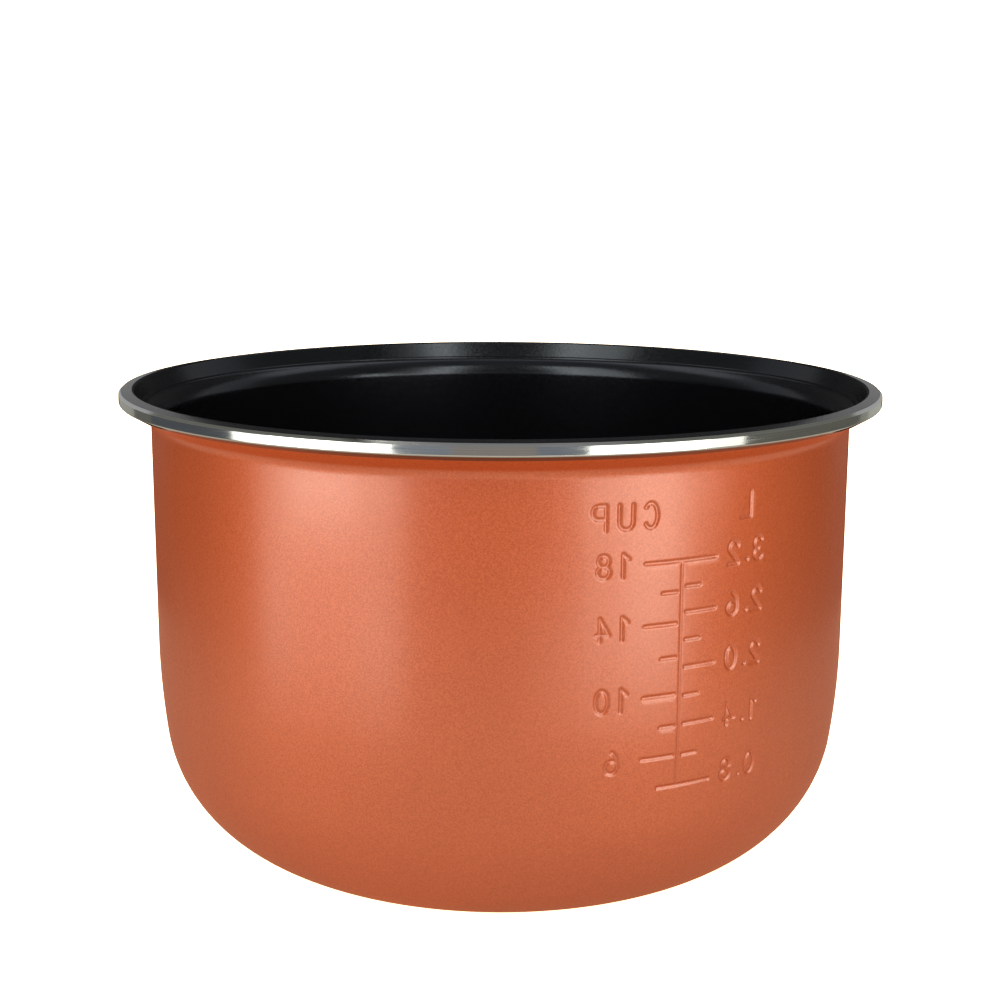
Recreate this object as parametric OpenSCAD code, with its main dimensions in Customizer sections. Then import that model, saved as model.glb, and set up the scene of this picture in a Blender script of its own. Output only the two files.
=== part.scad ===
// Inner cooking pot of a rice cooker: one deep-drawn aluminium pressing with a
// non-stick lining inside and a baked metallic coating outside.
// Millimetres. The origin is the centre of the base, +Z points up, and the
// level scale is centred on the -Y side of the wall.

/* [Pot] */
// Height from the base to the crest of the rim
pot_h = 176; // [160:1:200]
// Outside diameter of the straight wall, over the coating
body_d = 257.6; // [250:0.1:262]
// Thickness of the aluminium sheet
sheet_t = 2; // [1.6:0.1:2.2]
// Thickness of the non-stick lining
lining_t = 0.2; // [0.1:0.05:0.3]
// Thickness of the outer coating
coating_t = 0.2; // [0.1:0.05:0.3]

/* [Corner] */
// Radius of the shallow curve that leads the wall into the corner
belly_r = 270; // [200:5:320]
// Angle through which the shallow curve turns
belly_turn = 7.5; // [4:0.5:10]
// Radius of the corner
corner_r = 52; // [44:1:60]
// Angle through which the corner turns
corner_turn = 60; // [50:1:70]
// Radius of the heel that runs out into the flat base
heel_r = 85; // [70:1:100]

/* [Base] */
// Distance from the edge of the flat base in to the bare face that stands on the heating plate
contact_inset = 4.5; // [2:0.5:20]
// How far the coated base stays above the contact face
contact_step = 0.05; // [0.05:0.05:0.2]

/* [Rim] */
// Distance that the turned edge of the rim stands out from the wall
rim_reach = 11.2; // [10:0.1:13]
// Bevel at the top of the turned edge
edge_bevel = 0.9; // [0.5:0.1:1.2]
// Depth of the turned edge, from its top to where its lower rounding begins
edge_h = 2.3; // [1.8:0.1:2.8]
// Radius of the rounding below the turned edge
edge_round_r = 3; // [2.5:0.1:3.5]
// Distance from the turned edge in to the edge of the outer coating
coating_inset = 2.8; // [2.6:0.1:3.2]
// Slope of the underside of the rim
under_slope = 30; // [26:1:34]
// Radius of the cove between the wall and the rim
cove_r = 5; // [4:0.1:6]

/* [Mouth] */
// Distance from the turned edge in to the crest of the lip
crest_inset = 4.7; // [4:0.1:5.5]
// Height of the crest above the top of the turned edge
crest_rise = 0.6; // [0.4:0.1:1]
// Radius of the crest
crest_r = 1; // [0.7:0.1:1.3]
// Distance from the turned edge in to the foot of the lip's inner face
lip_foot_inset = 7.5; // [7:0.1:8]
// Depth of the ledge inside the lip, below the top of the turned edge
ledge_drop = 5.8; // [5.4:0.1:6]
// Width of the ledge
ledge_w = 1.2; // [0.9:0.1:1.5]
// Radius where the lip's inner face meets the ledge
ledge_fillet_r = 0.5; // [0.3:0.1:0.6]

/* [Level scale] */
// Depth that a mark is pressed into the wall from outside
mark_relief = 0.5; // [0.3:0.05:0.7]
// Width of a level mark, pressed in the metal
mark_w = 1.5; // [1.1:0.1:1.8]
// Width of the upright line, pressed in the metal
upright_w = 1.1; // [0.9:0.1:1.4]
// Depth of the upright line as a share of a mark's
upright_share = 0.7; // [0.5:0.05:0.8]
// Length of a long mark, along the wall
long_mark = 12.4; // [9:0.1:15]
// Length of a short mark, along the wall
short_mark = 6.2; // [4:0.1:8]
// Gap between the upright line's middle and a mark
mark_gap = 1.2; // [0.9:0.1:2]

/* [Hidden] */

// Heights of the level marks above the base, with a length for each. The top and bottom marks
// cross the upright line, cups are on its left and litres on its right, as seen from outside.
LONG = mark_gap + long_mark;
SHORT = mark_gap + short_mark;
TOP_MARK_Z = 134.5;
BOTTOM_MARK_Z = 60;
CUP_MARKS = [[124.5, SHORT], [114.3, LONG], [103.2, SHORT], [91, LONG], [80.5, SHORT], [70.5, LONG]];
LITRE_MARKS = [[126.1, SHORT], [117.7, LONG], [108.7, SHORT], [99.7, LONG], [90.3, SHORT], [80.8, LONG],
    [70.4, SHORT]];
SCALE_ANGLE = 270;

ROUND_FN = 180;
// Greatest distance between an arc and its chords, and the height of one step along the upright line
CHORD_SAG = 0.015;
BAND_STEP = 6;
FUSE = 0.1;

wall_r = body_d / 2;
rim_r = wall_r + rim_reach;
edge_z = pot_h - crest_rise;
metal_in = coating_t + sheet_t;
wall_t = metal_in + lining_t;

// The corner is a chain of three tangent arcs, worked out from the base upwards.
heel_turn = 90 - belly_turn - corner_turn;
corner_end = heel_turn + corner_turn;
heel_cz = contact_step + heel_r;
corner_cz = heel_cz - (heel_r - corner_r) * cos(heel_turn);
belly_cz = corner_cz + (belly_r - corner_r) * cos(corner_end);
belly_cr = wall_r - belly_r;
corner_cr = belly_cr + (belly_r - corner_r) * sin(corner_end);
heel_cr = corner_cr - (heel_r - corner_r) * sin(heel_turn);
corner_top_z = corner_cz - corner_r * cos(corner_end);
contact_r = heel_cr - contact_inset;

// The rim's underside is one straight slope between its lower rounding and the cove.
edge_round_cr = rim_r - edge_round_r;
edge_round_cz = edge_z - edge_h;
slope_out_r = edge_round_cr + edge_round_r * sin(under_slope);
slope_out_z = edge_round_cz - edge_round_r * cos(under_slope);
cove_cr = wall_r + cove_r;
cove_end_r = cove_cr - cove_r * sin(under_slope);
cove_end_z = slope_out_z - (slope_out_r - cove_end_r) * tan(under_slope);
cove_cz = cove_end_z - cove_r * cos(under_slope);
coating_end_r = rim_r - coating_inset;

function arc(cr, cz, r, from, to) =
    let (steps = ceil(abs(to - from) / (2 * acos(1 - CHORD_SAG / r))))
    [for (i = [0:steps]) let (a = from + (to - from) * i / steps) [cr + r * cos(a), cz + r * sin(a)]];

// Section of the drawn sheet from the base to the top of the cove, at a depth below the coated surface.
function body_path(depth) = concat(
    arc(heel_cr, heel_cz, heel_r - depth, -90, heel_turn - 90),
    arc(corner_cr, corner_cz, corner_r - depth, heel_turn - 90, corner_end - 90),
    arc(belly_cr, belly_cz, belly_r - depth, corner_end - 90, 0),
    arc(cove_cr, cove_cz, cove_r + depth, 180, 90 + under_slope));

// Point on the rim's underside at a radius, at a depth inside it.
function under_point(r, depth) =
    [r, cove_end_z + (r - cove_end_r) * tan(under_slope) + depth / cos(under_slope)];

// Bare edge of the rim, from the coating's end up to the top of the bevel.
bare_edge = concat(
    [under_point(coating_end_r, coating_t), under_point(coating_end_r, 0)],
    arc(edge_round_cr, edge_round_cz, edge_round_r, under_slope - 90, 0),
    [[rim_r, edge_z - edge_bevel], [rim_r - edge_bevel, edge_z]]);

// The crest of the lip is an arc that the rim's top and the lip's inner face meet as tangents.
crest_cr = rim_r - crest_inset;
crest_cz = pot_h - crest_r;
top_run = rim_r - edge_bevel - crest_cr;
top_rise = edge_z - crest_cz;
crest_from = atan2(top_rise, top_run) + acos(crest_r / norm([top_run, top_rise]));
foot_r = rim_r - lip_foot_inset;
ledge_z = edge_z - ledge_drop;
face_run = crest_cr - foot_r;
face_rise = crest_cz - ledge_z;
crest_to = 180 + atan2(face_rise, face_run) - acos(crest_r / norm([face_run, face_rise]));
fillet_cr = foot_r + ledge_fillet_r * (1 - sin(crest_to)) / cos(crest_to);
ledge_in_r = foot_r - ledge_w;

// Inner side of the mouth, from the bevel over the crest and the ledge to the shoulder, at a depth
// below the lining's surface.
function mouth_path(depth) = concat(
    [[rim_r - edge_bevel, edge_z - depth / sin(crest_from)]],
    arc(crest_cr, crest_cz, crest_r - depth, crest_from, crest_to),
    arc(fillet_cr, ledge_z + ledge_fillet_r, ledge_fillet_r + depth, crest_to - 180, -90),
    [[ledge_in_r + depth, ledge_z - depth], under_point(ledge_in_r + depth, wall_t - depth)]);

module revolve(points) {
    rotate_extrude($fn = ROUND_FN) polygon(points);
}

// Radius of the coated surface at a height on the wall, at a depth below it.
function surface_r(z, depth) =
    z >= belly_cz ? wall_r - depth
    : z >= corner_top_z ? belly_cr + sqrt(pow(belly_r - depth, 2) - pow(belly_cz - z, 2))
    : corner_cr + sqrt(pow(corner_r - depth, 2) - pow(corner_cz - z, 2));

// Band that follows the wall between two depths and two heights.
module wall_band(z_low, z_high, depth_in, depth_out, angle_from, angle_to) {
    steps = ceil((z_high - z_low) / BAND_STEP);
    heights = [for (i = [0:steps]) z_low + (z_high - z_low) * i / steps];
    inner = [for (z = heights) [surface_r(z, depth_in), z]];
    outer = [for (i = [steps:-1:0]) [surface_r(heights[i], depth_out), heights[i]]];
    rotate([0, 0, SCALE_ANGLE + angle_from])
        rotate_extrude(angle = angle_to - angle_from, $fn = ROUND_FN) polygon(concat(inner, outer));
}

function along(length) = length * 180 / (PI * wall_r);

// One level mark, between two lengths along the wall from the upright line.
module mark(z, from, to, depth_in, depth_out, grow) {
    half = mark_w / 2 + grow;
    wall_band(z - half, z + half, depth_in, depth_out, along(from - grow), along(to + grow));
}

// The whole scale as bands that go in from a surface of the wall, which lies at the given depth. They
// start at depth_out. Growing them leaves room for a coat round them.
module level_scale(surface_depth, depth_out, grow) {
    mark_in = surface_depth + mark_relief;
    upright_in = surface_depth + mark_relief * upright_share;
    mark(TOP_MARK_Z, -LONG, LONG, mark_in, depth_out, grow);
    mark(BOTTOM_MARK_Z, -SHORT, LONG, mark_in, depth_out, grow);
    for (m = CUP_MARKS) mark(m[0], -m[1], -mark_gap, mark_in, depth_out, grow);
    for (m = LITRE_MARKS) mark(m[0], mark_gap, m[1], mark_in, depth_out, grow);
    upright = along(upright_w / 2 + grow);
    wall_band(BOTTOM_MARK_Z, TOP_MARK_Z, upright_in, depth_out, -upright, upright);
}

module pot_shell() color("silver") {
    metal_out = body_path(coating_t);
    metal_inside = body_path(metal_in);
    mouth = mouth_path(lining_t);
    outline = concat(
        [[0, 0], [contact_r, 0], [contact_r, contact_step + coating_t]],
        metal_out,
        bare_edge,
        mouth,
        [for (i = [len(metal_inside) - 1:-1:0]) metal_inside[i]],
        [[0, contact_step + metal_in]]);
    difference() {
        union() {
            revolve(outline);
            level_scale(metal_in, metal_in - FUSE, 0);
        }
        level_scale(coating_t, coating_t - FUSE, 0);
    }
}

module nonstick_lining() color("dimgray") {
    back = body_path(metal_in);
    face = body_path(wall_t);
    back_mouth = mouth_path(lining_t);
    face_mouth = mouth_path(0);
    outline = concat(
        [[0, contact_step + metal_in]],
        back,
        [for (i = [len(back_mouth) - 1:-1:0]) back_mouth[i]],
        face_mouth,
        [for (i = [len(face) - 1:-1:0]) face[i]],
        [[0, contact_step + wall_t]]);
    difference() {
        union() {
            revolve(outline);
            level_scale(wall_t, wall_t - lining_t / 2, lining_t);
        }
        level_scale(metal_in, metal_in - FUSE, 0);
    }
}

module outer_coating() color("peru") {
    face = body_path(0);
    back = body_path(coating_t);
    outline = concat(
        [[contact_r, contact_step]],
        face,
        [under_point(coating_end_r, 0), under_point(coating_end_r, coating_t)],
        [for (i = [len(back) - 1:-1:0]) back[i]],
        [[contact_r, contact_step + coating_t]]);
    difference() {
        union() {
            revolve(outline);
            level_scale(coating_t, coating_t / 2, 0);
        }
        level_scale(0, -FUSE, -coating_t);
    }
}

pot_shell();
nonstick_lining();
outer_coating();
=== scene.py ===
"""Looks of a rice cooker's inner pot: dense layer meshes, procedural materials, a studio and a camera.

Lengths are in millimetres, heights are above the base, and the level scale is on the -Y side of the wall.
"""
import math

import bpy
import numpy as np
from mathutils import Euler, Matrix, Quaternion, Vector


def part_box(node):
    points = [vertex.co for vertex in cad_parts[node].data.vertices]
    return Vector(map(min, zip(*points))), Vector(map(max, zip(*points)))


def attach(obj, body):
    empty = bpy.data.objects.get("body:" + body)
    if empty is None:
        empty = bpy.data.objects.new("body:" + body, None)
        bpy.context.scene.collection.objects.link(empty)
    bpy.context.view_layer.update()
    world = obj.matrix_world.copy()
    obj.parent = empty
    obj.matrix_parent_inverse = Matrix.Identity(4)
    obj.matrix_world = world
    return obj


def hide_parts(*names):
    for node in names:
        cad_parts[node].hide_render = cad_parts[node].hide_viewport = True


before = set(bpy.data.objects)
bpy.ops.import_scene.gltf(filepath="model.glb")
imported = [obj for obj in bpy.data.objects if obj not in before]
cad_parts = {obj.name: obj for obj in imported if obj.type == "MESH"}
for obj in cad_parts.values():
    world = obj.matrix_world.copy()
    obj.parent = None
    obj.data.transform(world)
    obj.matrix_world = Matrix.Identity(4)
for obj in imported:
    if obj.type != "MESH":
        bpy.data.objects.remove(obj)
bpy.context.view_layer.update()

MM = 0.001

# ---------------------------------------------------------------------------------------------------
# The pot's section, with the same dimensions as the solids
# ---------------------------------------------------------------------------------------------------
POT_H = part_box("nonstick_lining")[1][2] / MM
RIM_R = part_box("pot_shell")[1][0] / MM
RIM_REACH = 11.2
WALL_R = RIM_R - RIM_REACH
SHEET_T = 2.0
LINING_T = 0.2
COATING_T = 0.2
BELLY_R, BELLY_TURN = 270.0, 7.5
CORNER_R, CORNER_TURN = 52.0, 60.0
HEEL_R = 85.0
CONTACT_INSET = 4.5
CONTACT_STEP = 0.05
EDGE_BEVEL = 0.9
EDGE_H = 2.3
EDGE_ROUND_R = 3.0
COATING_INSET = 2.8
UNDER_SLOPE = 30.0
COVE_R = 5.0
CREST_INSET, CREST_RISE, CREST_R = 4.7, 0.6, 1.0
LIP_FOOT_INSET = 7.5
LEDGE_DROP, LEDGE_W = 5.8, 1.2
LEDGE_FILLET_R = 0.5
METAL_IN = COATING_T + SHEET_T
WALL_T = METAL_IN + LINING_T

HEEL_TURN = 90 - BELLY_TURN - CORNER_TURN
CORNER_END = HEEL_TURN + CORNER_TURN


def sin(angle):
    return math.sin(math.radians(angle))


def cos(angle):
    return math.cos(math.radians(angle))


def tan(angle):
    return math.tan(math.radians(angle))


EDGE_Z = POT_H - CREST_RISE
HEEL_CZ = CONTACT_STEP + HEEL_R
CORNER_CZ = HEEL_CZ - (HEEL_R - CORNER_R) * cos(HEEL_TURN)
BELLY_CZ = CORNER_CZ + (BELLY_R - CORNER_R) * cos(CORNER_END)
BELLY_CR = WALL_R - BELLY_R
CORNER_CR = BELLY_CR + (BELLY_R - CORNER_R) * sin(CORNER_END)
HEEL_CR = CORNER_CR - (HEEL_R - CORNER_R) * sin(HEEL_TURN)
CONTACT_R = HEEL_CR - CONTACT_INSET

EDGE_ROUND_CR = RIM_R - EDGE_ROUND_R
EDGE_ROUND_CZ = EDGE_Z - EDGE_H
SLOPE_OUT_R = EDGE_ROUND_CR + EDGE_ROUND_R * sin(UNDER_SLOPE)
SLOPE_OUT_Z = EDGE_ROUND_CZ - EDGE_ROUND_R * cos(UNDER_SLOPE)
COVE_CR = WALL_R + COVE_R
COVE_END_R = COVE_CR - COVE_R * sin(UNDER_SLOPE)
COVE_END_Z = SLOPE_OUT_Z - (SLOPE_OUT_R - COVE_END_R) * tan(UNDER_SLOPE)
COVE_CZ = COVE_END_Z - COVE_R * cos(UNDER_SLOPE)
COATING_END_R = RIM_R - COATING_INSET
# The drawn rim turns over more tightly than the solid's rounding, by 0.3 mm at most, and ends on the
# same slope.
TURN_R = 1.0
TURN_CR = RIM_R - TURN_R
TURN_OUT_R = TURN_CR + TURN_R * sin(UNDER_SLOPE)
TURN_OUT_Z = SLOPE_OUT_Z + (TURN_OUT_R - SLOPE_OUT_R) * tan(UNDER_SLOPE)
TURN_CZ = TURN_OUT_Z + TURN_R * cos(UNDER_SLOPE)

CREST_CR = RIM_R - CREST_INSET
CREST_CZ = POT_H - CREST_R
TOP_RUN, TOP_RISE = RIM_R - EDGE_BEVEL - CREST_CR, EDGE_Z - CREST_CZ
CREST_FROM = math.degrees(
    math.atan2(TOP_RISE, TOP_RUN) + math.acos(CREST_R / math.hypot(TOP_RUN, TOP_RISE)))
FOOT_R = RIM_R - LIP_FOOT_INSET
LEDGE_Z = EDGE_Z - LEDGE_DROP
FACE_RUN, FACE_RISE = CREST_CR - FOOT_R, CREST_CZ - LEDGE_Z
CREST_TO = 180 + math.degrees(
    math.atan2(FACE_RISE, FACE_RUN) - math.acos(CREST_R / math.hypot(FACE_RUN, FACE_RISE)))
FILLET_CR = FOOT_R + LEDGE_FILLET_R * (1 - sin(CREST_TO)) / cos(CREST_TO)
LEDGE_IN_R = FOOT_R - LEDGE_W

# The patch of the wall that carries the level scale has its own rows and columns of cells.
SCALE_LOW, SCALE_HIGH = 46.5, 157.5
SCALE_LEFT, SCALE_RIGHT = -34.5, 39.0
ROW_STEP = 1.5
COLUMN_STEP = 1.5
SCALE_ROWS = round((SCALE_HIGH - SCALE_LOW) / ROW_STEP)
SCALE_COLUMNS = round((SCALE_RIGHT - SCALE_LEFT) / COLUMN_STEP)
# A cell of the patch that a stroke passes through is split this many times each way.
FINE = 5
# The columns round the rest of the pot are this many degrees apart.
PLAIN_COLUMN_STEP = 2.8
# Stands in for the row of the scale at a point of the section that is off the patch.
OFF = -1

# Spacing of points along the section, on faces that show and on those between two layers
BODY_STEP = 1.8
HIDDEN_STEP = 4.0
TURN_STEP = 0.1
CREST_STEP = 0.15
FILLET_STEP = 0.2
# The cove is curved more tightly than the body, so its points are this many times closer.
COVE_REFINE = 4


def arc(cr, cz, radius, start, end, step):
    """Points of an arc in the section, about step millimetres apart."""
    count = max(2, math.ceil(abs(end - start) * math.pi / 180 * radius / step))
    angles = np.linspace(start, end, count + 1)
    return [(cr + radius * cos(a), cz + radius * sin(a)) for a in angles]


def surface_r(z, depth):
    """Radius of the wall at a height, at a depth below the coated surface."""
    if z >= BELLY_CZ:
        return WALL_R - depth
    if z >= CORNER_CZ - CORNER_R * cos(CORNER_END):
        return BELLY_CR + math.sqrt((BELLY_R - depth) ** 2 - (BELLY_CZ - z) ** 2)
    return CORNER_CR + math.sqrt((CORNER_R - depth) ** 2 - (CORNER_CZ - z) ** 2)


def body_path(depth, step):
    """The section from the base to the top of the cove: points (r, z, row of the scale or OFF)."""
    radius = CORNER_R - depth
    low_angle = -math.degrees(math.acos((surface_r(SCALE_LOW, depth) - CORNER_CR) / radius))
    low = arc(HEEL_CR, HEEL_CZ, HEEL_R - depth, -90, HEEL_TURN - 90, step)
    low += arc(CORNER_CR, CORNER_CZ, radius, HEEL_TURN - 90, low_angle, step)[1:-1]
    heights = np.linspace(SCALE_LOW, SCALE_HIGH, SCALE_ROWS + 1)
    scale = [(surface_r(z, depth), z, k) for k, z in enumerate(heights)]
    top = arc(COVE_CR, COVE_CZ, COVE_R + depth, 180, 90 + UNDER_SLOPE, step / COVE_REFINE)
    return [(r, z, OFF) for r, z in low] + scale + [(r, z, OFF) for r, z in top]


def under_point(r, depth):
    """A point of the sloped underside of the rim, at a depth above the coated surface."""
    return r, COVE_END_Z + (r - COVE_END_R) * tan(UNDER_SLOPE) + depth / cos(UNDER_SLOPE)


def mouth_path(depth):
    """The mouth's inner side from the bevel over the crest and the ledge to the shoulder."""
    points = [(RIM_R - EDGE_BEVEL, EDGE_Z - depth / sin(CREST_FROM))]
    points += arc(CREST_CR, CREST_CZ, CREST_R - depth, CREST_FROM, CREST_TO, CREST_STEP)
    points += arc(FILLET_CR, LEDGE_Z + LEDGE_FILLET_R, LEDGE_FILLET_R + depth, CREST_TO - 180, -90,
                  FILLET_STEP)
    ledge_r = LEDGE_IN_R + depth
    return points + [(ledge_r, LEDGE_Z - depth), under_point(ledge_r, WALL_T - depth)]


# ---------------------------------------------------------------------------------------------------
# The level scale, pressed into the wall from outside: it reads the right way round from inside.
# Places are along the wall, to the right of the upright line as seen from outside, and above the base.
# The marks are in the solids too. The numbers and the unit words are only here.
# ---------------------------------------------------------------------------------------------------
RELIEF = 0.5
UPRIGHT_RELIEF = 0.35
MARK_W = 1.1
UPRIGHT_W = 0.8
# A stroke's side falls from the wall to its floor over twice this width, centred on its edge.
STROKE_SLOPE = 0.42
# How far from the upright line long and short marks end, and how far from it they start
LONG, SHORT, MARK_GAP = 13.6, 7.4, 1.2
TOP_MARK_Z, BOTTOM_MARK_Z = 134.5, 60.0
CUP_MARKS = [(124.5, SHORT), (114.3, LONG), (103.2, SHORT), (91.0, LONG), (80.5, SHORT), (70.5, LONG)]
LITRE_MARKS = [(126.1, SHORT), (117.7, LONG), (108.7, SHORT), (99.7, LONG), (90.3, SHORT), (80.8, LONG),
               (70.4, SHORT)]
# The numbers beside the marks: a digit's size, and the steps from a number's last digit to the one
# before it, to its dot, and over the dot to the whole number
DIGIT_W, DIGIT_H = 4.1, 7.3
DIGIT_PITCH = 7.2
DOT_OFFSET, DOT_DROP = 6.2, 3.0
DECIMAL_PITCH = 11.1
CUPS = [("18", TOP_MARK_Z), ("14", 114.4), ("10", 91.0), ("6", 70.6)]
CUPS_UNITS_AT = -27.0
SINGLE_CUP_AT = -23.3
LITRES = [("3.2", 134.8), ("2.6", 118.0), ("2.0", 100.0), ("1.4", 81.0), ("0.8", 61.8)]
LITRES_UNITS_AT = 20.3
# The words CUP and L over the two columns of numbers, letter by letter as the outside shows them
UNIT_H = 7.9
UNIT_Z = 149.8
UNITS = [("P", -28.5), ("U", -19.8), ("C", -11.5), ("L", 25.4)]


def bow(cx, cy, rx, ry, start, end, count=14):
    """A bowed stroke in a glyph's box, which is 2 wide and 2 high about its centre."""
    return [(cx + rx * cos(a), cy + ry * sin(a)) for a in np.linspace(start, end, count)]


GLYPHS = {
    "0": [bow(0, 0, 1, 1, 0, 360, 28)],
    "1": [[(0.4, -1), (0.4, 1), (-0.55, 0.55)]],
    "2": [bow(0, 0.45, 0.95, 0.55, 165, -25) + [(-0.95, -1), (1, -1)]],
    "3": [bow(-0.05, 0.48, 0.9, 0.52, 150, -90), bow(-0.05, -0.5, 1, 0.5, 90, -150)],
    "4": [[(0.45, -1), (0.45, 1), (-1, -0.45), (1, -0.45)]],
    "6": [bow(0, -0.42, 1, 0.58, 0, 360, 28), bow(0.35, -0.35, 1.35, 1.35, 180, 105)],
    "8": [bow(0, 0.48, 0.85, 0.5, 0, 360, 24), bow(0, -0.5, 1, 0.5, 0, 360, 24)],
    "C": [bow(0, 0, 1.1, 1, 40, 320, 24)],
    "U": [[(-1.1, 1)] + bow(0, -0.4, 1.1, 0.6, 180, 360) + [(1.1, 1)]],
    "P": [[(-1, -1), (-1, 1), (0.2, 1)] + bow(0.2, 0.45, 0.9, 0.55, 90, -90) + [(-1, -0.1)]],
    "L": [[(-1, 1), (-1, -1), (1.1, -1)]],
}


def glyph_strokes(glyph, along, height, half_w, half_h):
    """A glyph's strokes, mirrored as the outside of the pot shows them."""
    return [[(along - x * half_w, height + y * half_h) for x, y in stroke] for stroke in GLYPHS[glyph]]


def number_strokes():
    """The strokes of every number and unit word."""
    strokes = []
    half_w, half_h = DIGIT_W / 2, DIGIT_H / 2
    for text, height in CUPS:
        at = CUPS_UNITS_AT if len(text) == 2 else SINGLE_CUP_AT
        for place, digit in enumerate(reversed(text)):
            strokes += glyph_strokes(digit, at + place * DIGIT_PITCH, height, half_w, half_h)
    for text, height in LITRES:
        whole, tenth = text.split(".")
        strokes += glyph_strokes(tenth, LITRES_UNITS_AT, height, half_w, half_h)
        strokes += glyph_strokes(whole, LITRES_UNITS_AT + DECIMAL_PITCH, height, half_w, half_h)
        dot = (LITRES_UNITS_AT + DOT_OFFSET, height - DOT_DROP)
        strokes.append([dot, dot])
    for letter, at in UNITS:
        strokes += glyph_strokes(letter, at, UNIT_Z, half_w, UNIT_H / 2)
    return strokes


def scale_segments():
    """Every straight bit of the scale: (x0, z0, x1, z1, width, relief)."""
    marks = [((-LONG, LONG), TOP_MARK_Z), ((-SHORT, LONG), BOTTOM_MARK_Z)]
    marks += [((-reach, -MARK_GAP), z) for z, reach in CUP_MARKS]
    marks += [((MARK_GAP, reach), z) for z, reach in LITRE_MARKS]
    inset = MARK_W / 2
    segments = [(a + inset, z, b - inset, z, MARK_W, RELIEF) for (a, b), z in marks]
    segments.append((0, BOTTOM_MARK_Z, 0, TOP_MARK_Z, UPRIGHT_W, UPRIGHT_RELIEF))
    for stroke in number_strokes():
        for (x0, z0), (x1, z1) in zip(stroke, stroke[1:]):
            segments.append((x0, z0, x1, z1, MARK_W, RELIEF))
    return segments


def relief_map():
    """How deep the scale is pressed into the wall, on the finest grid of rows and columns."""
    x = np.arange(SCALE_COLUMNS * FINE + 1) * COLUMN_STEP / FINE + SCALE_LEFT
    z = np.arange(SCALE_ROWS * FINE + 1) * ROW_STEP / FINE + SCALE_LOW
    depth = np.zeros((len(z), len(x)))
    for x0, z0, x1, z1, width, relief in scale_segments():
        reach = width / 2 + STROKE_SLOPE
        across = slice(*np.searchsorted(x, (min(x0, x1) - reach, max(x0, x1) + reach)))
        up = slice(*np.searchsorted(z, (min(z0, z1) - reach, max(z0, z1) + reach)))
        dx, dz = x[None, across] - x0, z[up, None] - z0
        length = math.hypot(x1 - x0, z1 - z0)
        ux, uz = ((x1 - x0) / length, (z1 - z0) / length) if length else (1.0, 0.0)
        t = np.clip(dx * ux + dz * uz, 0, length)
        distance = np.hypot(dx - t * ux, dz - t * uz)
        share = np.clip((reach - distance) / (2 * STROKE_SLOPE), 0, 1)
        depth[up, across] = np.maximum(depth[up, across], relief * share * share * (3 - 2 * share))
    return depth


# ---------------------------------------------------------------------------------------------------
# Layers: closed lathe meshes whose wall is finer where the scale is pressed
# ---------------------------------------------------------------------------------------------------
SCALE_AZIMUTH = -90.0
DEGREES_PER_MM = 180 / (math.pi * WALL_R)
# Stands in for the row of a vertex that lies between two rows.
BETWEEN = -1


def column_angles():
    """The angle of each base column from the upright line. The first ones lie on the scale."""
    scale = np.linspace(SCALE_LEFT, SCALE_RIGHT, SCALE_COLUMNS + 1) * DEGREES_PER_MM
    rest = 360 - (scale[-1] - scale[0])
    plain_count = round(rest / PLAIN_COLUMN_STEP)
    plain = scale[-1] + rest * np.arange(1, plain_count) / plain_count
    return np.concatenate([scale, plain])


COLUMNS = column_angles()
RELIEF_MAP = relief_map()


def section_normals(points, closed):
    """The direction out of the layer at each point of its section, which runs round it anticlockwise."""
    p = np.array(points)
    if closed:
        ahead, behind = np.roll(p, -1, 0), np.roll(p, 1, 0)
    else:
        ahead, behind = np.vstack([p[1:], p[-1:]]), np.vstack([p[:1], p[:-1]])
    t = ahead - behind
    n = np.stack([t[:, 1], -t[:, 0]], 1)
    return n / np.linalg.norm(n, axis=1)[:, None]


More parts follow.
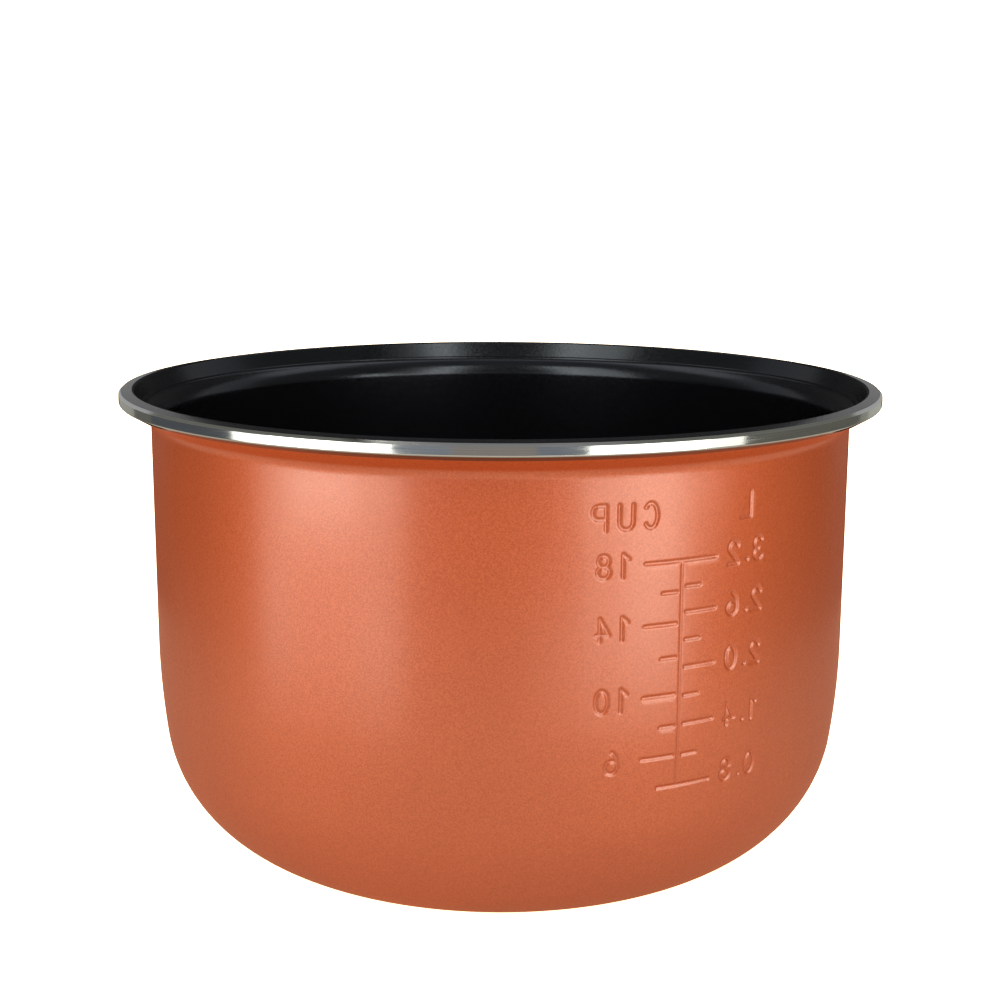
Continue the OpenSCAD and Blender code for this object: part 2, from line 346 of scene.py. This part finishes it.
class Layer:
    """One closed layer of the pot.

    Its rows are (r, z, row of the scale or OFF, sharp), up the outer side first and down the inner side.
    A layer whose section is closed is a ring. The others start and end on the axis.
    """

    def __init__(self, name, rows, closed, outer_count):
        self.name, self.rows, self.closed = name, rows, closed
        self.normals = section_normals([(r, z) for r, z, _, _ in rows], closed)
        self.normals[outer_count:] *= -1  # the inner side moves inwards too, with the wall
        self.n_rows = len(rows) - (0 if closed else 1)
        self.n_columns = len(COLUMNS)
        self.index = {}
        self.points, self.point_row, self.faces = [], [], []
        self.split = self.split_cells()

    def split_cells(self):
        """Which base cells a stroke passes through."""
        split = np.zeros((self.n_rows, self.n_columns), bool)
        for i in range(self.n_rows):
            ends = sorted((self.rows[i][2], self.rows[(i + 1) % len(self.rows)][2]))
            if OFF in ends:
                continue
            band = RELIEF_MAP[ends[0] * FINE:ends[1] * FINE + 1].max(0)
            for j in range(SCALE_COLUMNS):
                split[i, j] = band[j * FINE:(j + 1) * FINE + 1].max() > 0
        return split

    def is_split(self, i, j):
        if self.closed:
            i %= self.n_rows
        return 0 <= i < self.n_rows and self.split[i, j % self.n_columns]

    def vertex(self, fine_row, fine_column):
        """The number of the vertex at a place on the finest grid, which is added if it is new."""
        fine_column %= self.n_columns * FINE
        if self.closed:
            fine_row %= self.n_rows * FINE
        i, a = divmod(fine_row, FINE)
        j, b = divmod(fine_column, FINE)
        on_axis = self.rows[min(i, len(self.rows) - 1)][0] == 0 and a == 0
        key = (fine_row, 0 if on_axis else fine_column)
        if key not in self.index:
            self.index[key] = len(self.points)
            self.points.append((i, a / FINE, j, b / FINE))
            self.point_row.append(i if a == 0 else BETWEEN)
        return self.index[key]

    def border(self, i, j):
        """The corners of a cell that isn't split, with the finer points of its neighbours' edges."""
        top, left = (i + 1) * FINE, j * FINE
        bottom, right = i * FINE, (j + 1) * FINE

        def steps(a, b, fine):
            return range(a, b, (1 if b > a else -1) * (1 if fine else FINE))

        ring = [(bottom, c) for c in steps(left, right, self.is_split(i - 1, j))]
        ring += [(r, right) for r in steps(bottom, top, self.is_split(i, j + 1))]
        ring += [(top, c) for c in steps(right, left, self.is_split(i + 1, j))]
        ring += [(r, left) for r in steps(top, bottom, self.is_split(i, j - 1))]
        corners = [self.vertex(r, c) for r, c in ring]
        return list(dict.fromkeys(corners))

    def build(self):
        for i in range(self.n_rows):
            for j in range(self.n_columns):
                if not self.split[i, j]:
                    self.faces.append(self.border(i, j))
                    continue
                for r in range(i * FINE, (i + 1) * FINE):
                    for c in range(j * FINE, (j + 1) * FINE):
                        quad = ((r, c), (r, c + 1), (r + 1, c + 1), (r + 1, c))
                        self.faces.append([self.vertex(*corner) for corner in quad])
        return self.mesh_object()

    def positions(self):
        """Where the vertices lie, in metres, with the scale pressed in along the section's normals."""
        i, a, j, b = np.array(self.points).T
        i, j = i.astype(int), j.astype(int)
        section = np.array([(r, z) for r, z, _, _ in self.rows])
        after = (i + 1) % len(self.rows)
        at = section[i] * (1 - a[:, None]) + section[after] * a[:, None]
        out = self.normals[i] * (1 - a[:, None]) + self.normals[after] * a[:, None]
        angles = np.append(COLUMNS, COLUMNS[0] + 360)
        angle = angles[j] * (1 - b) + angles[j + 1] * b
        scale_row = np.array([row[2] for row in self.rows])
        marked = (scale_row[i] != OFF) & ((scale_row[after] != OFF) | (a == 0)) & (j + b <= SCALE_COLUMNS)
        up = np.round((scale_row[i] * (1 - a) + scale_row[after] * a) * FINE).astype(int)
        across = np.round((j + b) * FINE).astype(int)
        depth = np.zeros(len(i))
        depth[marked] = RELIEF_MAP[up[marked], across[marked]]
        at = at - out * depth[:, None]
        turn = np.radians(SCALE_AZIMUTH + angle)
        return np.stack([at[:, 0] * np.cos(turn), at[:, 0] * np.sin(turn), at[:, 1]], 1) * MM

    def mesh_object(self):
        mesh = bpy.data.meshes.new(self.name)
        mesh.from_pydata(self.positions().tolist(), [], self.faces)
        mesh.update()
        mesh.shade_smooth()
        row = np.array(self.point_row)
        sharp_rows = np.array([r[3] for r in self.rows] + [False])
        edges = np.empty(len(mesh.edges) * 2, np.int32)
        mesh.edges.foreach_get("vertices", edges)
        first, second = row[edges.reshape(-1, 2)].T
        sharp = (first == second) & (first != BETWEEN) & sharp_rows[first]
        mesh.attributes.new("sharp_edge", "BOOLEAN", "EDGE").data.foreach_set("value", sharp)
        piece = bpy.data.objects.new(self.name, mesh)
        bpy.context.scene.collection.objects.link(piece)
        return piece


SHARP = True


def plain(points, sharp=()):
    """Rows off the scale from (r, z) points. sharp lists the places of those that are creases."""
    last = len(points)
    creases = {k % last for k in sharp}
    return [(r, z, OFF, k in creases) for k, (r, z) in enumerate(points)]


def side(depth, step, backwards=False):
    """Rows up the body at a depth below the coated surface, or down it."""
    rows = [(*point, False) for point in body_path(depth, step)]
    return rows[::-1] if backwards else rows


# The coating runs straight from this far past the cove to its edge.
COVE_RUN_OUT = 1.0
# Rings of vertices on the flat of the base, as shares of its radius
FACE_RINGS = (0, 0.25, 0.5, 0.75)
FLOOR_RING = 0.5


def coating_layer():
    outer = [(CONTACT_R, CONTACT_STEP, OFF, SHARP)] + side(0, BODY_STEP)
    outer += plain([under_point(COVE_END_R + COVE_RUN_OUT, 0), under_point(COATING_END_R, 0)], sharp=[1])
    inner = plain([under_point(COATING_END_R, COATING_T)], sharp=[0])
    inner += side(COATING_T, HIDDEN_STEP, backwards=True)
    inner += [(CONTACT_R, CONTACT_STEP + COATING_T, OFF, SHARP)]
    return Layer("coating", outer + inner, True, len(outer))


def shell_layer():
    base = [(CONTACT_R * share, 0) for share in FACE_RINGS]
    base += [(CONTACT_R, 0), (CONTACT_R, CONTACT_STEP + COATING_T)]
    outer = plain(base, sharp=[-2, -1]) + side(COATING_T, HIDDEN_STEP)
    edge = [under_point(COATING_END_R, COATING_T), under_point(COATING_END_R, 0)]
    edge += arc(TURN_CR, TURN_CZ, TURN_R, UNDER_SLOPE - 90, 0, TURN_STEP)
    edge += [(RIM_R, EDGE_Z - EDGE_BEVEL), (RIM_R - EDGE_BEVEL, EDGE_Z)]
    outer += plain(edge, sharp=[0, 1, -2, -1])
    inner = plain(mouth_path(LINING_T), sharp=[0]) + side(METAL_IN, HIDDEN_STEP, backwards=True)
    inner += plain([(0, CONTACT_STEP + METAL_IN)])
    return Layer("pot_body", outer + inner, False, len(outer))


def lining_layer():
    floor_z = CONTACT_STEP + WALL_T
    back = plain([(0, CONTACT_STEP + METAL_IN)]) + side(METAL_IN, HIDDEN_STEP)
    back += plain(mouth_path(LINING_T)[::-1])
    face = plain(mouth_path(0), sharp=[0, -2]) + side(WALL_T, BODY_STEP, backwards=True)
    face += plain([(CONTACT_R * FLOOR_RING, floor_z), (0, floor_z)])
    return Layer("lining", back + face, False, len(back))


# ---------------------------------------------------------------------------------------------------
# Materials
# ---------------------------------------------------------------------------------------------------
class Nodes:
    """A material's node tree with a Principled shader."""

    def __init__(self, name):
        self.material = bpy.data.materials.new(name)
        self.material.use_nodes = True
        self.tree = self.material.node_tree
        self.shader = self.tree.nodes["Principled BSDF"]
        self.place = self.add("ShaderNodeTexCoord").outputs["Object"]

    def add(self, kind, **values):
        node = self.tree.nodes.new(kind)
        for name, value in values.items():
            setattr(node, name, value)
        return node

    def link(self, source, target):
        self.tree.links.new(source, target)

    def set(self, **values):
        for name, value in values.items():
            self.shader.inputs[name.replace("_", " ")].default_value = value

    def noise(self, scale, detail, place=None):
        node = self.add("ShaderNodeTexNoise")
        node.inputs["Scale"].default_value = scale
        node.inputs["Detail"].default_value = detail
        self.link(place or self.place, node.inputs["Vector"])
        return node.outputs["Fac"]

    def spots(self, scale):
        node = self.add("ShaderNodeTexVoronoi")
        node.inputs["Scale"].default_value = scale
        self.link(self.place, node.inputs["Vector"])
        return node

    def stretched(self, x, y, z):
        node = self.add("ShaderNodeMapping")
        node.inputs["Scale"].default_value = (x, y, z)
        self.link(self.place, node.inputs["Vector"])
        return node.outputs["Vector"]

    def ramp(self, source, low, high, out_low, out_high):
        node = self.add("ShaderNodeMapRange")
        self.link(source, node.inputs["Value"])
        limits = {"From Min": low, "From Max": high, "To Min": out_low, "To Max": out_high}
        for name, value in limits.items():
            node.inputs[name].default_value = value
        return node.outputs["Result"]

    def math(self, operation, first, second=0.0):
        node = self.add("ShaderNodeMath", operation=operation)
        for socket, value in zip(node.inputs, (first, second)):
            if isinstance(value, (int, float)):
                socket.default_value = value
            else:
                self.link(value, socket)
        return node.outputs["Value"]

    def mix(self, share, first, second):
        node = self.add("ShaderNodeMix", data_type="RGBA")
        if isinstance(share, (int, float)):
            node.inputs["Factor"].default_value = share
        else:
            self.link(share, node.inputs["Factor"])
        for name, value in zip(("A", "B"), (first, second)):
            socket = next(s for s in node.inputs if s.name == name and s.type == "RGBA")
            if isinstance(value, tuple):
                socket.default_value = (*value, 1)
            else:
                self.link(value, socket)
        return next(s for s in node.outputs if s.type == "RGBA")

    def bump(self, height, distance, strength):
        node = self.add("ShaderNodeBump")
        node.inputs["Distance"].default_value = distance
        node.inputs["Strength"].default_value = strength
        self.link(height, node.inputs["Height"])
        return node.outputs["Normal"]


# Scales of patterns are per metre, and heights are in metres, as the shader nodes take them.
COPPER = (0.575, 0.119, 0.034)
COPPER_LIGHT = (0.69, 0.175, 0.058)
COPPER_DARK = (0.44, 0.078, 0.020)
COPPER_EVENNESS = 0.6
COPPER_CLOUD = 0.12
COPPER_ROUGHNESS = (0.74, 0.66)
# How much of the metal's sheen is left where the wall is seen edge-on
EDGE_TINT = (0.25, 0.22, 0.25, 1)
FLAKE_SCALE, GRAIN_SCALE, CLOUD_SCALE = 2600, 1500, 22
# The relief of the flakes, and how much of it the clear top over them still shows
FLAKE_HEIGHT, TOP_HEIGHT = 0.00006, 0.00002
TOP_WEIGHT, TOP_ROUGHNESS, TOP_IOR = 0.31, 0.27, 3.0
ALUMINIUM = (0.86, 0.86, 0.85)
ALUMINIUM_DULL = (0.66, 0.67, 0.68)
# Painted shade on the rounding under the rim's edge
ALUMINIUM_PAINTED_SHADE = (0.20, 0.205, 0.215)
ALUMINIUM_ROUGHNESS = (0.07, 0.14)
LATHE_SCALE, SMEAR_SCALE, SMEAR_FLATNESS = 4200, 60, 12
LATHE_HEIGHT = 0.00002
# Heights between which the painted shade on the rim's rounding gives way to its turned face
ROUNDING_FULL_Z, ROUNDING_NONE_Z = 0.1712, 0.1719
# Heights that part the base face from the rim
BASE_BELOW_Z, RIM_ABOVE_Z = 0.10, 0.11
BLACK = (0.003, 0.003, 0.0036)
BLACK_LIGHT = (0.008, 0.008, 0.0095)
LINING_SHEEN = (0.90, 0.98, 1.15, 1)
LINING_ROUGHNESS = (0.17, 0.25)
SPECK_SCALE, PEEL_SCALE = 1100, 900
SPECK_INNER, SPECK_OUTER = 0.08, 0.16
PEEL_HEIGHT = 0.00005


def copper_material():
    """Baked paint with metal flakes under a clear top."""
    n = Nodes("copper_paint")
    flakes = n.spots(FLAKE_SCALE)
    flake_tone = n.add("ShaderNodeSeparateColor")
    n.link(flakes.outputs["Color"], flake_tone.inputs["Color"])
    fine = n.noise(GRAIN_SCALE, 3)
    cloud = n.noise(CLOUD_SCALE, 3)
    grain = n.math("ADD", n.math("MULTIPLY", flake_tone.outputs["Red"], 0.5), n.math("MULTIPLY", fine, 0.5))
    tone = n.mix(n.ramp(grain, 0.25, 0.75, 0, 1), COPPER_DARK, COPPER_LIGHT)
    tone = n.mix(COPPER_EVENNESS, tone, COPPER)
    tone = n.mix(n.ramp(cloud, 0.35, 0.7, 0, COPPER_CLOUD), tone, COPPER_DARK)
    n.link(tone, n.shader.inputs["Base Color"])
    n.link(n.ramp(grain, 0.2, 0.8, *COPPER_ROUGHNESS), n.shader.inputs["Roughness"])
    n.link(n.bump(grain, FLAKE_HEIGHT, 0.6), n.shader.inputs["Normal"])
    n.link(n.bump(grain, TOP_HEIGHT, 0.5), n.shader.inputs["Coat Normal"])
    n.set(Metallic=1.0, Specular_Tint=EDGE_TINT)
    n.set(Coat_Weight=TOP_WEIGHT, Coat_Roughness=TOP_ROUGHNESS, Coat_IOR=TOP_IOR)
    return n.material


def aluminium_material():
    """Bare metal, with lathe lines that run round the axis on the rim and on the base face."""
    n = Nodes("turned_aluminium")
    at = n.add("ShaderNodeSeparateXYZ")
    n.link(n.place, at.inputs["Vector"])
    x_squared = n.math("MULTIPLY", at.outputs["X"], at.outputs["X"])
    y_squared = n.math("MULTIPLY", at.outputs["Y"], at.outputs["Y"])
    radius = n.math("SQRT", n.math("ADD", x_squared, y_squared))
    lathe = n.add("ShaderNodeCombineXYZ")
    n.link(radius, lathe.inputs["X"])
    n.link(at.outputs["Z"], lathe.inputs["Z"])
    lines = n.noise(LATHE_SCALE, 3, place=lathe.outputs["Vector"])
    smears = n.noise(SMEAR_SCALE, 3, place=n.stretched(1, 1, SMEAR_FLATNESS))
    turned = n.mix(n.ramp(lines, 0.3, 0.7, 0, 1), ALUMINIUM_DULL, ALUMINIUM)
    # The rounding under the rim's edge gets a painted shade, darker than the turned face. The base face
    # does not.
    rounding = n.ramp(at.outputs["Z"], ROUNDING_FULL_Z, ROUNDING_NONE_Z, 1, 0)
    rim = n.ramp(at.outputs["Z"], BASE_BELOW_Z, RIM_ABOVE_Z, 0, 1)
    tone = n.mix(n.math("MULTIPLY", rounding, rim), turned, ALUMINIUM_PAINTED_SHADE)
    n.link(tone, n.shader.inputs["Base Color"])
    n.link(n.ramp(smears, 0.3, 0.7, *ALUMINIUM_ROUGHNESS), n.shader.inputs["Roughness"])
    n.link(n.bump(lines, LATHE_HEIGHT, 0.35), n.shader.inputs["Normal"])
    n.set(Metallic=1.0)
    return n.material


def lining_material():
    """Satin black coat with fine lighter specks and a slight orange peel."""
    n = Nodes("black_nonstick")
    speck = n.ramp(n.spots(SPECK_SCALE).outputs["Distance"], SPECK_INNER, SPECK_OUTER, 1, 0)
    peel = n.noise(PEEL_SCALE, 2)
    n.link(n.mix(speck, BLACK, BLACK_LIGHT), n.shader.inputs["Base Color"])
    n.link(n.ramp(peel, 0.3, 0.7, *LINING_ROUGHNESS), n.shader.inputs["Roughness"])
    n.link(n.bump(peel, PEEL_HEIGHT, 0.5), n.shader.inputs["Normal"])
    n.set(Specular_Tint=LINING_SHEEN)
    return n.material


# ---------------------------------------------------------------------------------------------------
# Camera: its azimuth from the level scale, its distance from the pot's axis, and its turns in degrees
# ---------------------------------------------------------------------------------------------------
VIEW_AZIMUTH = -26.4
CAMERA_REACH = 633.2
CAMERA_Z = 258.4
CAMERA_PITCH = 11.44
CAMERA_ROLL = -0.228
FOCAL_PX = 1700.4
IMAGE_PX = 1000
SENSOR = 36.0
CLIP_START_M = 0.01


def add_camera():
    data = bpy.data.cameras.new("camera")
    data.sensor_width = SENSOR
    data.sensor_fit = "HORIZONTAL"
    data.lens = FOCAL_PX * SENSOR / IMAGE_PX
    data.clip_start = CLIP_START_M
    camera = bpy.data.objects.new("camera", data)
    bpy.context.scene.collection.objects.link(camera)
    camera.location = (CAMERA_REACH * sin(VIEW_AZIMUTH) * MM, -CAMERA_REACH * cos(VIEW_AZIMUTH) * MM,
                       CAMERA_Z * MM)
    camera.rotation_mode = "QUATERNION"
    aim = Euler((math.radians(90 - CAMERA_PITCH), 0, math.radians(VIEW_AZIMUTH))).to_quaternion()
    camera.rotation_quaternion = aim @ Quaternion((0, 0, 1), math.radians(-CAMERA_ROLL))
    bpy.context.scene.camera = camera


# ---------------------------------------------------------------------------------------------------
# Studio: a pale floor, and a ring of upright panels that only shows in reflections
# ---------------------------------------------------------------------------------------------------
RING_R = 420.0
RING_LOW, RING_TOP = 0.5, 1000
FACET_TURN = 6
# A black ring behind the panels keeps the world out of the reflections between them.
BACKING_R = 430.0
# Tints of the panels' light
PLAIN, WHITE, WARM = (1.0, 1.0, 1.0), (1.0, 1.0, 0.88), (1.1, 1.0, 0.9)
BLUISH, OLIVE = (0.9, 1.0, 1.12), (1.0, 1.0, 0.85)
# Each panel: from and to an azimuth right of the camera, from and to a height, brightness, tint.
# Most brightnesses started from a scratch program's least-squares fit to the photo's shading, and most
# azimuths from a second one that traced the reflections on the photo's rim. Both were rounded, and some
# were then changed.
PANELS = [
    (-180, -150, 150, 600, 0.05, PLAIN),
    (-150, -117.3, 150, 600, 0.38, PLAIN),
    (-180, -117.3, 600, RING_TOP, 0.9, PLAIN),
    (-117.3, -68.3, 300, RING_TOP, 0.15, WHITE),
    (-140, -117.3, RING_LOW, 85, 0.22, WHITE),
    (-140, -117.3, 85, 150, 0.32, WHITE),
    (-117.3, -68.3, RING_LOW, 40, 0.26, WHITE),
    (-117.3, -104.3, 40, 300, 0.12, WHITE),
    (-104.3, -68.3, 40, 300, 0.08, BLUISH),
    (-68.3, -58, RING_LOW, 40, 2.2, WHITE),
    (-68.3, -58, 40, 170, 1.9, WHITE),
    (-58, -38, RING_LOW, 40, 1.8, WHITE),
    (-58, -38, 40, 85, 0.6, WHITE),
    (-58, -38, 85, 170, 5.2, WHITE),
    (-58, -38, 170, RING_TOP, 2.5, WHITE),
    (-38, -25, RING_LOW, 40, 2.6, WHITE),
    (-38, -25, 40, 85, 1.2, WHITE),
    (-38, -25, 85, 170, 2.9, WHITE),
    (-38, -25, 170, RING_TOP, 4.0, WHITE),
    (-25, 8.4, RING_LOW, 40, 0.65, WHITE),
    (-25, -11, 40, 330, 0.23, BLUISH),
    (-25, -11, 330, RING_TOP, 0.12, WHITE),
    (-11, 8.4, 40, 330, 0.22, WARM),
    (-11, 8.4, 330, RING_TOP, 0.12, WHITE),
    (8.4, 19.9, RING_LOW, 40, 1.45, WHITE),
    (8.4, 19.9, 40, 330, 0.19, BLUISH),
    (8.4, 19.9, 330, RING_TOP, 0.14, WHITE),
    (19.9, 33, RING_LOW, 40, 2.5, WHITE),
    (19.9, 33, 40, 85, 1.3, WHITE),
    (19.9, 33, 85, 170, 2.9, WHITE),
    (19.9, 33, 170, RING_TOP, 4.4, WHITE),
    (33, 50, RING_LOW, 85, 3.2, WHITE),
    (33, 50, 85, 250, 3.6, WHITE),
    (33, 50, 250, RING_TOP, 0.5, WHITE),
    (50, 60.7, RING_LOW, 85, 0.3, WHITE),
    (50, 60.7, 85, 140, 1.4, WHITE),
    (50, 60.7, 140, 350, 4.5, WHITE),
    (60.7, 111.9, RING_LOW, 40, 0.2, WHITE),
    (60.7, 111.9, 40, 300, 0.11, OLIVE),
    (111.9, 119, RING_LOW, 300, 0.25, OLIVE),
    (119, 140, RING_LOW, 85, 0.3, WHITE),
    (119, 140, 85, 150, 0.4, WHITE),
    (60.7, 119, 300, RING_TOP, 0.15, WHITE),
    (119, 150, 150, 600, 0.38, PLAIN),
    (150, 180, 150, 600, 0.05, PLAIN),
    (119, 180, 600, RING_TOP, 0.9, PLAIN),
]


def glow(name, color, strength):
    material = bpy.data.materials.new(name)
    material.use_nodes = True
    tree = material.node_tree
    tree.nodes.clear()
    emission = tree.nodes.new("ShaderNodeEmission")
    emission.inputs["Color"].default_value = (*color, 1)
    emission.inputs["Strength"].default_value = strength
    out = tree.nodes.new("ShaderNodeOutputMaterial")
    tree.links.new(emission.outputs["Emission"], out.inputs["Surface"])
    return material


def stage_object(name, verts, faces, material):
    mesh = bpy.data.meshes.new(name)
    mesh.from_pydata([tuple(c * MM for c in v) for v in verts], [], faces)
    mesh.materials.append(material)
    thing = bpy.data.objects.new(name, mesh)
    bpy.context.scene.collection.objects.link(thing)
    return thing


def add_panel(name, radius, start, end, low, high, strength, tint):
    """A glowing strip of an upright cylinder round the pot, which only reflections show."""
    count = max(1, math.ceil((end - start) / FACET_TURN))
    verts, faces = [], []
    for k in range(count + 1):
        azimuth = VIEW_AZIMUTH + start + (end - start) * k / count
        x, y = radius * sin(azimuth), -radius * cos(azimuth)
        verts += [(x, y, low), (x, y, high)]
    for k in range(count):
        faces.append((2 * k, 2 * k + 2, 2 * k + 3, 2 * k + 1))
    panel = stage_object(name, verts, faces, glow(name, tint, strength))
    panel.visible_camera = False
    panel.visible_diffuse = False
    panel.visible_shadow = False


FLOOR_HALF = 6000.0
# The floor's tone and glow, as the camera sees them and as reflections show them
FLOOR_TONE, FLOOR_TONE_REFLECTED = 0.92, 0.22
FLOOR_GLOW, FLOOR_GLOW_REFLECTED = 2.0, 0.58
FLOOR_GLOW_TINT = (1.0, 0.76, 0.46, 1)


def add_floor():
    """A white floor without a shadow, as the photo has. Reflections show it darker and warmer."""
    material = bpy.data.materials.new("pale_floor")
    material.use_nodes = True
    tree = material.node_tree
    shader = tree.nodes["Principled BSDF"]
    path = tree.nodes.new("ShaderNodeLightPath")
    switched = [
        ("Base Color", FLOOR_TONE, FLOOR_TONE_REFLECTED),
        ("Emission Strength", FLOOR_GLOW, FLOOR_GLOW_REFLECTED),
    ]
    for name, seen, reflected in switched:
        value = tree.nodes.new("ShaderNodeMapRange")
        value.inputs["To Min"].default_value = seen
        value.inputs["To Max"].default_value = reflected
        tree.links.new(path.outputs["Is Glossy Ray"], value.inputs["Value"])
        tree.links.new(value.outputs["Result"], shader.inputs[name])
    shader.inputs["Roughness"].default_value = 0.9
    shader.inputs["Specular IOR Level"].default_value = 0.0
    shader.inputs["Emission Color"].default_value = FLOOR_GLOW_TINT
    half = FLOOR_HALF
    corners = [(-half, -half, 0), (half, -half, 0), (half, half, 0), (-half, half, 0)]
    stage_object("floor", corners, [(0, 1, 2, 3)], material)


# The world's brightness, to the camera and the floor, and in reflections
DOME = 1.3
CEILING = 0.22


def add_world():
    """White to the camera, a bright dome that lights the floor, and dimmer in reflections."""
    world = bpy.data.worlds.new("studio")
    world.use_nodes = True
    world.cycles.sampling_method = "NONE"
    tree = world.node_tree
    tree.nodes.clear()
    path = tree.nodes.new("ShaderNodeLightPath")
    strength = tree.nodes.new("ShaderNodeMix")
    strength.inputs["A"].default_value = DOME
    strength.inputs["B"].default_value = CEILING
    background = tree.nodes.new("ShaderNodeBackground")
    out = tree.nodes.new("ShaderNodeOutputWorld")
    tree.links.new(path.outputs["Is Glossy Ray"], strength.inputs["Factor"])
    tree.links.new(strength.outputs["Result"], background.inputs["Strength"])
    background.inputs["Color"].default_value = (1, 1, 1, 1)
    tree.links.new(background.outputs["Background"], out.inputs["Surface"])
    bpy.context.scene.world = world


def dress(layer, node, material):
    piece = layer.build()
    piece.data.materials.append(material)
    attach(piece, "root")
    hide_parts(node)


add_camera()
dress(coating_layer(), "outer_coating", copper_material())
dress(shell_layer(), "pot_shell", aluminium_material())
dress(lining_layer(), "nonstick_lining", lining_material())
add_floor()
add_world()
add_panel("studio_backing", BACKING_R, -180, 180, RING_LOW, RING_TOP, 0.0, WHITE)
for number, panel in enumerate(PANELS):
    add_panel(f"studio_panel_{number}", RING_R, *panel)
bpy.context.scene.view_settings.view_transform = "Standard"
